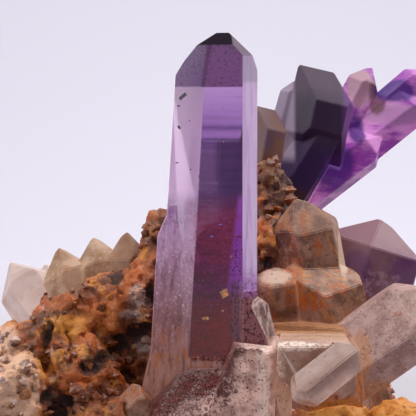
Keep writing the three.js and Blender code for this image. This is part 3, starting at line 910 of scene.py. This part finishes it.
look = Look("milky_quartz")
lines = look.noise(0.7, 3, seed=3, stretch=(1.4, 1.4, 0.12)).above(0.5, 0.7)
white_edge_marks = look.areas(RIDGE, 1.1, 0.8) * look.noise(0.5, 3, seed=4).above(0.4, 0.6)
sliver = look.areas(SLIVER)
glints = look.noise(0.5, seed=8, stretch=(1.2, 1.2, 0.3)).above(0.48, 0.6)
from_root = look.vector("SUBTRACT", look.mm, DUST_TOP_LEFT)
from_root = look.vector("DOT_PRODUCT", from_root, DUST_FROM, out="Value")
dust = look.noise(0.4, seed=5) - from_root * 0.03
rim = look.areas(DUSTY_RIM, 0.8) * look.noise(0.5, seed=7).above(0.4, 0.5)
dusty = (dust.above(0.38, 0.46) * look.x.above(4, 1.5)).greatest(rim)
colour = look.painted(
    veils(look, MILKY_GREY, MILKY_PINK, 2.2, seed=1),
    (lines * 0.35, MILKY_WHITE),
    # painted shade: the right face is painted darker tan
    (look.areas(RIGHT_FACE) * 0.7, MILKY_TAN),
    (white_edge_marks * 0.9, MILKY_WHITE),
    (sliver * 0.8, SLIVER_DARK),
    (sliver * glints * 0.8, MILKY_WHITE),
    (from_root.above(6, 1) * look.x.above(4, 0) * 0.65, DUSTY_PINK),
    (dusty * 0.9, DUSTY_RED),
    specked(look, DARK_SPECK, 0.12, 0.45, seed=6),
    specked(look, DUSTY_RED, 0.2, 0.3, seed=10),
)
finish = cloudy_finish(look, colour, soft=0.4)
worn_crystal("milky_foot_crystal", "milky_foot_quartz", finish, 0.12)

# The small clear crystal in front, pointed at both ends, lies on the blocky one. It is
# clear to cloudy, with fine light and dark lines along it, the light ones in part painted
# highlight, and painted highlights at both ends.

CLEAR_WAY = (0.77, 0.31, 0.56)
CLEAR_WHITE = (212, 194, 186)
CLEAR_PINK = (170, 138, 128)
CLEAR_DARK = (112, 84, 78)
CLEAR_END_HIGHLIGHTS = [((11.2, -12.9, 24.4), (1.5, 3, 2.2)), ((20.6, -9, 31.2), (1.1, 3, 1.4))]

look = Look("clear_quartz")
look.grow_along(CLEAR_WAY)
colour = look.painted(
    CLEAR_PINK,
    # the light streaks are in part painted highlight
    *streaked(look, CLEAR_WHITE, CLEAR_DARK, 0.7, seed=21),
    (look.noise(2.2, 3, seed=23).above(0.4, 0.65) * 0.4, CLEAR_WHITE),
    # painted highlights at both ends
    (look.areas(CLEAR_END_HIGHLIGHTS, 0.8, 0.7) * 0.7, CLEAR_WHITE),
    specked(look, DARK_SPECK, 0.04, 0.4, seed=22),
)
finish = cloudy_finish(look, colour, 0.2, 0.03, soft=0.5, clear=0.6, wear=0.3, gloss=0.5)
worn_crystal("clear_double_crystal", "clear_double_quartz", finish)

# The short crystal at the lower left, grown out of the rock: pink-grey quartz with fine
# lines along it and an orange iron stain on its top.

STUB_PINK = (154, 112, 94)
STUB_BROWN = (104, 66, 46)
STUB_LIGHT = (188, 158, 142)
STUB_ORANGE = (166, 88, 22)

look = Look("stub_quartz")
top = look.z.above(22, 24.5) * look.noise(0.9, seed=33).above(0.4, 0.58)
colour = look.painted(
    veils(look, STUB_PINK, STUB_BROWN, 1.6, seed=31),
    *streaked(look, STUB_LIGHT, STUB_BROWN, 0.8, seed=32),
    (top * 0.85, STUB_ORANGE),
    stained(look, STUB_ORANGE, 0.3, 1.2, seed=34),
    specked(look, DARK_SPECK, 0.12, 0.45, seed=35),
)
finish = cloudy_finish(look, colour, wear=0.06)
worn_crystal("stub_crystal", "stub_quartz", finish, 0.12)

# The thick cloudy crystal behind the small clear one. Its top is finely striated and
# brown, and its front is smooth and grey-pink, with a painted highlight along its upper
# edge, broken up like chips.

BLOCKY_GREY = (176, 142, 126)
BLOCKY_PINK = (146, 110, 94)
BLOCKY_BROWN = (104, 62, 34)
BLOCKY_TAN = (176, 126, 84)
BLOCKY_WHITE = (226, 210, 200)
BLOCKY_HIGHLIT_EDGE = [((11.5, -8.9, 31.5), (4.4, 1.2, 0.8)), ((9.6, -8.4, 29), (0.7, 1, 3))]
BLOCKY_ORANGE = [((16.7, -8.6, 21.6), (6, 4, 3)), ((21.6, -6, 25), (1.6, 4, 5))]

look = Look("blocky_quartz")
top = look.z.above(31.8, 32.6)
stripes = look.noise(1.6, 5, seed=42, stretch=(0.12, 0.6, 4))
white_edge_marks = look.areas(BLOCKY_HIGHLIT_EDGE, 1.1, 0.7) * look.noise(0.5, 3, seed=43).above(0.38, 0.55)
rusty_foot = look.areas(BLOCKY_ORANGE, 1, 1.2)
colour = look.painted(
    veils(look, BLOCKY_GREY, BLOCKY_PINK, 2.8, seed=41),
    (top * 0.7, BLOCKY_TAN),
    (top * stripes.above(0.4, 0.56) * 0.85, BLOCKY_BROWN),
    # painted highlight along the upper front edge
    (white_edge_marks * 0.9, BLOCKY_WHITE),
    (rusty_foot * 0.85, STUB_ORANGE),
    (rusty_foot * look.noise(1, seed=45).above(0.5, 0.62) * 0.8, ROCK_DARK),
    specked(look, DARK_SPECK, 0.09, 0.45, seed=44),
)
finish = cloudy_finish(look, colour, soft=0.45)
worn_crystal("blocky_crystal", "blocky_quartz", finish)

# The thick crystal that leans out to the right: mauve-grey, satin, full of dark specks,
# with rust on its end and along its lower side.

PRISM_WAY = (0.8, -0.1, 0.6)
PRISM_MAUVE = (184, 153, 146)
PRISM_DARK = (154, 120, 112)
PRISM_LIGHT = (206, 180, 172)
PRISM_GRAIN = (94, 62, 62)
PRISM_TAN = (178, 126, 78)
PRISM_RUST = (166, 84, 20)
RUST_SPOT = [((26.9, -5.6, 35.8), (0.6, 2, 0.4)), ((25, -3, 20.5), (3, 4, 1.6))]
TAN_AREAS = [((21.4, -5, 29), (1.6, 4, 5)), ((24, -4, 24), (3.4, 4, 2.2))]

look = Look("speckled_quartz")
look.grow_along(PRISM_WAY)
grains = look.noise(0.5, seed=52).above(0.52, 0.62)
grains = grains * look.noise(4, 3, seed=55).above(0.4, 0.6)
rusty = look.areas(RUST_SPOT, 1.6, 0.6) * look.noise(0.6, 3, seed=56).above(0.3, 0.55)
colour = look.painted(
    veils(look, PRISM_MAUVE, PRISM_DARK, 2.4, seed=51),
    *streaked(look, PRISM_LIGHT, PRISM_DARK, 1.1, seed=54),
    (look.areas(TAN_AREAS, 0.9) * 0.7, PRISM_TAN),
    (grains * 0.6, PRISM_GRAIN),
    (look.noise(0.4, seed=53).above(0.56, 0.66) * 0.5, PRISM_LIGHT),
    (rusty * 0.75, PRISM_RUST),
)
finish = cloudy_finish(look, colour, 0.36, 0.1, soft=0.45, wear=0.06, gloss=0.25)
worn_crystal("right_prism", "leaning_prism_quartz", finish)

# The two stained crystals behind the tall one's right edge, and the beige one beside it:
# cloudy quartz with orange and brown iron stain in patches and pale edges.

STAINED_WAY = (-0.35, -0.1, 0.93)
TAN = (158, 118, 98)
TAN_DARK = (108, 70, 52)
TAN_LIGHT = (192, 158, 132)
STAIN_ORANGE = (172, 84, 12)
STAIN_YELLOW = (196, 130, 48)
PURPLE_STAIN_AND_SHADE = (82, 50, 48)
PALE_EDGE = (214, 190, 168)
ORANGE_PATCHES = [
    ((11.5, 2, 39.5), (1.5, 5, 4.6)),
    ((14.4, 1, 37), (2.6, 4, 1.8)),
    ((18.4, 2, 38.9), (1.8, 3, 1)),
    ((13.4, 6, 48.4), (0.9, 4, 2.2)),
    ((15.4, 5, 44.8), (0.9, 4, 1.6)),
]
GROOVE = [((10.4, 5.6, 46.2), (1.2, 3, 1.6)), ((12.6, 9, 51.2), (0.9, 3, 0.8))]
PALE_EDGES = [((19.6, 9, 43.6), (0.9, 6, 6)), ((9, 2, 40.6), (2.6, 3, 1.2))]

look = Look("stained_quartz")
look.grow_along(STAINED_WAY)
patches = look.areas(ORANGE_PATCHES, 2.4, 1.3) * look.noise(0.8, 5, seed=68).above(0.34, 0.58)
colour = look.painted(
    veils(look, TAN, TAN_DARK, 2.2, seed=61),
    *streaked(look, TAN_LIGHT, TAN_DARK, 1.4, seed=65),
    stained(look, STAIN_YELLOW, 0.4, 2.0, seed=66, stretch=(1.4, 1.4, 0.5)),
    stained(look, STAIN_ORANGE, 0.34, 1.7, seed=62, stretch=(1.4, 1.4, 0.6)),
    (patches * 0.8, STAIN_ORANGE),
    stained(look, PURPLE_STAIN_AND_SHADE, 0.24, 1.0, seed=63),
    (look.areas(PALE_EDGES, 0.8) * 0.7, PALE_EDGE),
    # painted shade in the grooves
    (look.areas(GROOVE, 1.4, 0.8) * 0.8, PURPLE_STAIN_AND_SHADE),
    (look.noise(0.45, seed=67).above(0.57, 0.66) * 0.3, TAN_LIGHT),
    (look.z.above(45, 49) * 0.35, TAN_DARK),
    specked(look, DARK_SPECK, 0.1, 0.4, seed=64),
)
finish = cloudy_finish(look, colour, 0.38, 0.1, soft=0.55, clear=0.2, wear=0.06, gloss=0.2)
worn_crystal("stained_crystals", "stained_quartz_crystals", finish)

# The small brown crystal behind the tall one's right edge, grown with it: smoky quartz,
# satin, and browner towards its foot.

SMOKY_VIOLET = (96, 68, 82)
SMOKY_BROWN = (112, 72, 54)

look = Look("smoky_quartz")
colour = look.painted(
    veils(look, SMOKY_VIOLET, SMOKY_BROWN, 3.4, seed=71),
    (look.z.above(60, 52) * 0.7, SMOKY_BROWN),
)
finish = cloudy_finish(look, colour, 0.4, 0.03, soft=0.2, wear=0.03, gloss=0.15)
worn_crystal("smoky_crystal", "smoky_quartz_crystal", finish, 0.1)

# The dark sceptre behind: a thick head of very dark violet quartz, grown over the tip of
# a thinner red-brown stem, with a pale crystal against its left side. Satin.

SCEPTRE_GREY = (74, 54, 76)
SCEPTRE_SLATE = (46, 28, 56)
SCEPTRE_VIOLET = (40, 8, 62)
SCEPTRE_STEM = (56, 20, 24)
SCEPTRE_LILAC = (96, 50, 118)
SCEPTRE_GLOW = (74, 20, 110)
SIDE_CRYSTAL = (146, 130, 152)

look = Look("dark_amethyst")
level = look.z + (look.noise(4, 3, seed=81) - 0.5) * 5
colour = look.painted(
    SCEPTRE_SLATE,
    (level.above(66, 70), SCEPTRE_GREY),
    (level.above(62, 58), SCEPTRE_VIOLET),
    (level.above(55, 51) * look.x.above(17, 13), SCEPTRE_STEM),
    (look.x.above(16.6, 18.4) * level.above(60, 56) * 0.8, SCEPTRE_GLOW),
    (look.x.above(19.6, 21) * look.z.above(60, 63) * 0.8, SCEPTRE_LILAC),
    (look.x.above(13.0, 12.2) * look.z.above(57, 59) * 0.9, SIDE_CRYSTAL),
)
finish = cloudy_finish(look, colour, 0.46, 0.03, soft=0.1, clear=0.12, wear=0.02, gloss=0.12)
worn_crystal("dark_sceptre", "dark_sceptre_crystal", finish, 0.1)

# The crystals that fan out to the upper right behind: amethyst from pink-lilac to deep
# purple, with a beige tip that is painted brown on its right side as shade, smooth and partly
# clear.

SPRAY_PURPLE = (144, 58, 160)
SPRAY_LILAC = (208, 138, 204)
SPRAY_DEEP = (60, 6, 114)
SPRAY_BEIGE = (170, 136, 140)
SPRAY_SHADE = (96, 60, 64)
SPRAY_MAUVE = (164, 122, 162)
DEEP_PURPLE = [((19, 21, 57), (4, 6, 5)), ((23, 24, 63), (1.6, 5, 3))]
DARK_TIP = [((29.5, 29.3, 69), (3.8, 5, 2))]
BEIGE_TIP = [((23.6, 27, 70), (2.2, 4, 4))]
BEIGE_TIP_SHADE = [((26.4, 29, 68), (1.6, 4, 3.4))]
MAUVE_BAND = [((29, 28, 65), (6, 5, 1.8))]

look = Look("spray_amethyst")
colour = look.painted(
    SPRAY_PURPLE,
    (look.noise(3, 3, seed=91, stretch=(0.5, 0.5, 1.6)).above(0.4, 0.6), SPRAY_LILAC),
    (look.areas(DEEP_PURPLE, 0.6, 3) * 0.9, SPRAY_DEEP),
    (look.areas(MAUVE_BAND, 0.6, 3) * 0.8, SPRAY_MAUVE),
    (look.areas(BEIGE_TIP, 0.6, 2) * 0.85, SPRAY_BEIGE),
    # painted shade on the beige tip's right side
    (look.areas(BEIGE_TIP_SHADE, 0.6, 2) * 0.85, SPRAY_SHADE),
    (look.areas(DARK_TIP, 0.6, 2) * 0.95, SPRAY_DEEP),
)
finish = cloudy_finish(look, colour, 0.3, 0.03, soft=0.3, clear=0.25, wear=0.03, gloss=0.15)
worn_crystal("rear_amethyst_spray", "amethyst_spray", finish, 0.1)

# The large cloudy lilac crystal behind the leaning prism, beige-mauve on its end faces
# and violet below.

LILAC_TOP = (130, 94, 104)
LILAC_VIOLET = (98, 54, 84)
LILAC_DARK = (92, 50, 104)
LILAC_PALE = (176, 146, 164)
VIOLET_AREAS = [((29.8, 14, 40.4), (3, 5, 2.6)), ((22, 12, 41), (2.4, 5, 3))]
PALE_AREAS = [((25, 12.2, 38.6), (4, 4, 2))]

look = Look("lilac_quartz")
level = look.z + (look.noise(4, 3, seed=102) - 0.5) * 6
pale = look.areas(PALE_AREAS, 1.6, 1.6) * look.noise(0.9, seed=103).above(0.4, 0.6)
colour = look.painted(
    veils(look, LILAC_VIOLET, LILAC_TOP, 5, seed=101, fine=0.7),
    (level.above(41, 46) * 0.9, LILAC_TOP),
    (look.areas(VIOLET_AREAS, 0.8, 4) * 0.6, LILAC_DARK),
    (pale * 0.5, LILAC_PALE),
)
finish = cloudy_finish(look, colour, 0.44, 0.05, soft=0.5, wear=0.02, gloss=0.12)
worn_crystal("lilac_crystal", "lilac_quartz_crystal", finish)

# The pale crystals behind the left of the rock: beige-white ones, and at the far left
# very pale ones. Cloudy quartz with a little iron stain.

BEIGE = (188, 156, 132)
BEIGE_DARK = (152, 114, 84)
PALE = (212, 194, 188)
PALE_DARK = (192, 168, 160)
BEIGE_BROWN = (128, 84, 60)

look = Look("beige_quartz")
colour = look.painted(
    veils(look, BEIGE, BEIGE_DARK, 3, seed=111, fine=0.6),
    stained(look, ROCK_OCHRE, 0.3, 2.4, seed=112),
    (look.noise(0.6, seed=114).above(0.55, 0.66) * 0.4, PALE),
    (look.x.above(-18, -14) * 0.7, BEIGE_BROWN),
)
finish = cloudy_finish(look, colour, 0.4, 0.1, soft=0.5, clear=0.25, wear=0.05, gloss=0.2)
worn_crystal("beige_crystals", "beige_quartz_crystals", finish)

look = Look("pale_quartz")
colour = veils(look, PALE, PALE_DARK, 3, seed=113, fine=0.7)
finish = cloudy_finish(look, colour, 0.4, 0.05, soft=0.5, clear=0.4, wear=0.05, gloss=0.2)
worn_crystal("pale_crystals", "pale_quartz_crystals", finish)

# Dust and flecks of other minerals: dark red hematite grains on the milky crystal's low
# face and round the tall crystal's foot, thin dark plates and rusty flakes just under the
# tall crystal's front face, and a few drawn-out bubbles.

DUST_SEED = 12
DUST_SIZES = (0.05, 0.17)
DUST_VARIES = (0.6, 1.3)
DUST_WIDTHS = (0.6, 1)  # of a grain's length
DUST_HEIGHTS = (0.4, 0.9)
DUST_SEEN_FROM = -30  # mm in front of the tall crystal
DUST_LINES = [  # from and to as (x, z), the width of the band, and how many grains
    ((-4.0, 28.8), (1.2, 28.9), 0.5, 150),
    ((-8.6, 20.6), (-3.4, 25.8), 2.0, 900),
    ((-1.2, 26.4), (0.4, 24.8), 1.0, 200),
    ((-3, 23.5), (0.2, 26.6), 1.2, 360),
    ((1.3, 28.3), (2.5, 31.4), 0.8, 260),
    ((2.4, 31.5), (6.6, 31.2), 0.7, 260),
    ((-0.5, 24), (5.5, 28), 5.0, 160),
    ((10, 18), (9, 29), 1.5, 60),
]
DARK_PLATES = [  # middle on the front face, length, width, turn in degrees
    ((-5.08, -0.98, 67.9), 1.3, 0.5, 35),
    ((-5.68, -0.68, 66.5), 0.5, 0.2, 10),
    ((-5.61, -0.72, 63.3), 0.55, 0.35, -50),
    ((-5.91, -0.57, 58.0), 0.5, 0.14, 12),
    ((-3.88, -1.56, 57.0), 0.22, 0.2, 0),
    ((-4.03, -1.49, 64.3), 0.2, 0.16, 40),
    ((-2.6, -2.18, 56.0), 0.3, 0.24, 70),
    ((-5.09, -0.97, 40.8), 1.0, 0.3, 5),
    ((-5.7, -0.67, 39.6), 0.8, 0.26, -12),
]
RUSTY_FLAKES = [
    ((1.17, -4.02, 38.7), 1.15, 1.0, 30),
    ((-1.65, -2.65, 34.8), 1.1, 0.45, 5),
    ((0.88, -3.88, 36.1), 0.3, 0.25, 0),
    ((-0.46, -3.23, 65.8), 0.2, 0.16, 20),
    ((0.87, -3.87, 66.2), 0.2, 0.2, 50),
    ((1.02, -3.95, 61.2), 0.2, 0.16, 0),
    ((2.2, -4.5, 44.2), 0.3, 0.25, 30),
]
BUBBLES = [((-0.75, -3.08, 47.1), 0.8), ((0.58, -3.73, 48.9), 0.6), ((-3.14, -1.92, 45.6), 0.5)]
BUBBLE_DEPTH = 0.35
BUBBLE_THICKNESS = 0.25
BUBBLE_HEIGHT = 0.28
BUBBLE_DROOP = 0.06
FLECK_DEPTH = 0.3
FLECK_THICKNESS = 0.05
FLECK_LEAN = (0.85, 1.15)
HEMATITE_RED = (128, 44, 36)
PLATE_GREY = (58, 50, 66)
FLAKE_RUST = (196, 128, 60)
BUBBLE_VIOLET = (120, 92, 168)
SHADED = 0.55


def dust_grains():
    """Small uneven grains on the crystals' surfaces."""
    surfaces = crystal_surfaces()
    solid = bmesh.new()
    for (x0, z0), (x1, z1), width, count in DUST_LINES:
        for _ in range(count):
            share = random.random()
            x = x0 + (x1 - x0) * share + random.gauss(0, width / 3)
            z = z0 + (z1 - z0) * share + random.gauss(0, width / 3)
            hit = surfaces.ray_cast(spot((x, DUST_SEEN_FROM, z)), Vector(BACK))[0]
            if hit:
                size = random.uniform(*DUST_SIZES) * random.uniform(*DUST_VARIES) * MM
                place = hit - Vector(BACK) * GAP_FILL * MM
                turn = Vector([random.uniform(-1, 1) for _ in range(3)]).to_track_quat("Z", "Y")
                made = bmesh.ops.create_icosphere(solid, subdivisions=1, radius=size)["verts"]
                flatten = Vector((1, random.uniform(*DUST_WIDTHS), random.uniform(*DUST_HEIGHTS)))
                for vertex in made:
                    vertex.co = place + turn @ (vertex.co * flatten)
    return solid


def flecks(plates):
    """Thin plates lying just under the front face."""
    solid = bmesh.new()
    way = Vector(FRONT_FACE)
    across = way.cross(Vector(UP)).normalized()
    for middle, length, width, turn in plates:
        turn = math.radians(turn)
        along_it = -across * math.cos(turn) + Vector(UP) * math.sin(turn)
        over_it = along_it.cross(way)
        for vertex in bmesh.ops.create_cube(solid, size=1)["verts"]:
            x, y, z = vertex.co
            lean = random.uniform(*FLECK_LEAN)
            place = Vector(middle) - way * FLECK_DEPTH + along_it * x * length * lean
            vertex.co = spot(place + over_it * y * width * lean + way * z * FLECK_THICKNESS)
    return solid


def bubbles():
    """Flattened bubbles under the front face, whose ends hang down a little."""
    solid = bmesh.new()
    for middle, length in BUBBLES:
        place = Vector(middle) - Vector(FRONT_FACE) * BUBBLE_DEPTH
        ball = bmesh.ops.create_uvsphere(solid, u_segments=16, v_segments=10, radius=0.5)
        for vertex in ball["verts"]:
            x, y, z = vertex.co
            high = z * BUBBLE_HEIGHT - abs(x) * BUBBLE_DROOP
            vertex.co = spot(place + Vector((x * length, y * BUBBLE_THICKNESS, high)))
    return solid


def small_piece(name, solid, colour, roughness, seed):
    """One mesh of small mineral pieces, in one colour that varies a little."""
    look = Look(name)
    darker = tuple(c * SHADED for c in colour)
    varied = look.blend(look.noise(0.4, 3, seed=seed).above(0.4, 0.6), colour, darker)
    relief = look.bump(look.noise(0.2, 2, seed=seed), 0.01)
    belongs(piece_of(solid, name), look.finish(look.stone(varied, roughness, relief)))


random.seed(DUST_SEED)
small_piece("hematite_dust", dust_grains(), HEMATITE_RED, 0.35, 1)
small_piece("dark_mineral_plates", flecks(DARK_PLATES), PLATE_GREY, 0.3, 2)
small_piece("rusty_flakes", flecks(RUSTY_FLAKES), FLAKE_RUST, 0.5, 3)
small_piece("drawn_out_bubbles", bubbles(), BUBBLE_VIOLET, 0.1, 4)
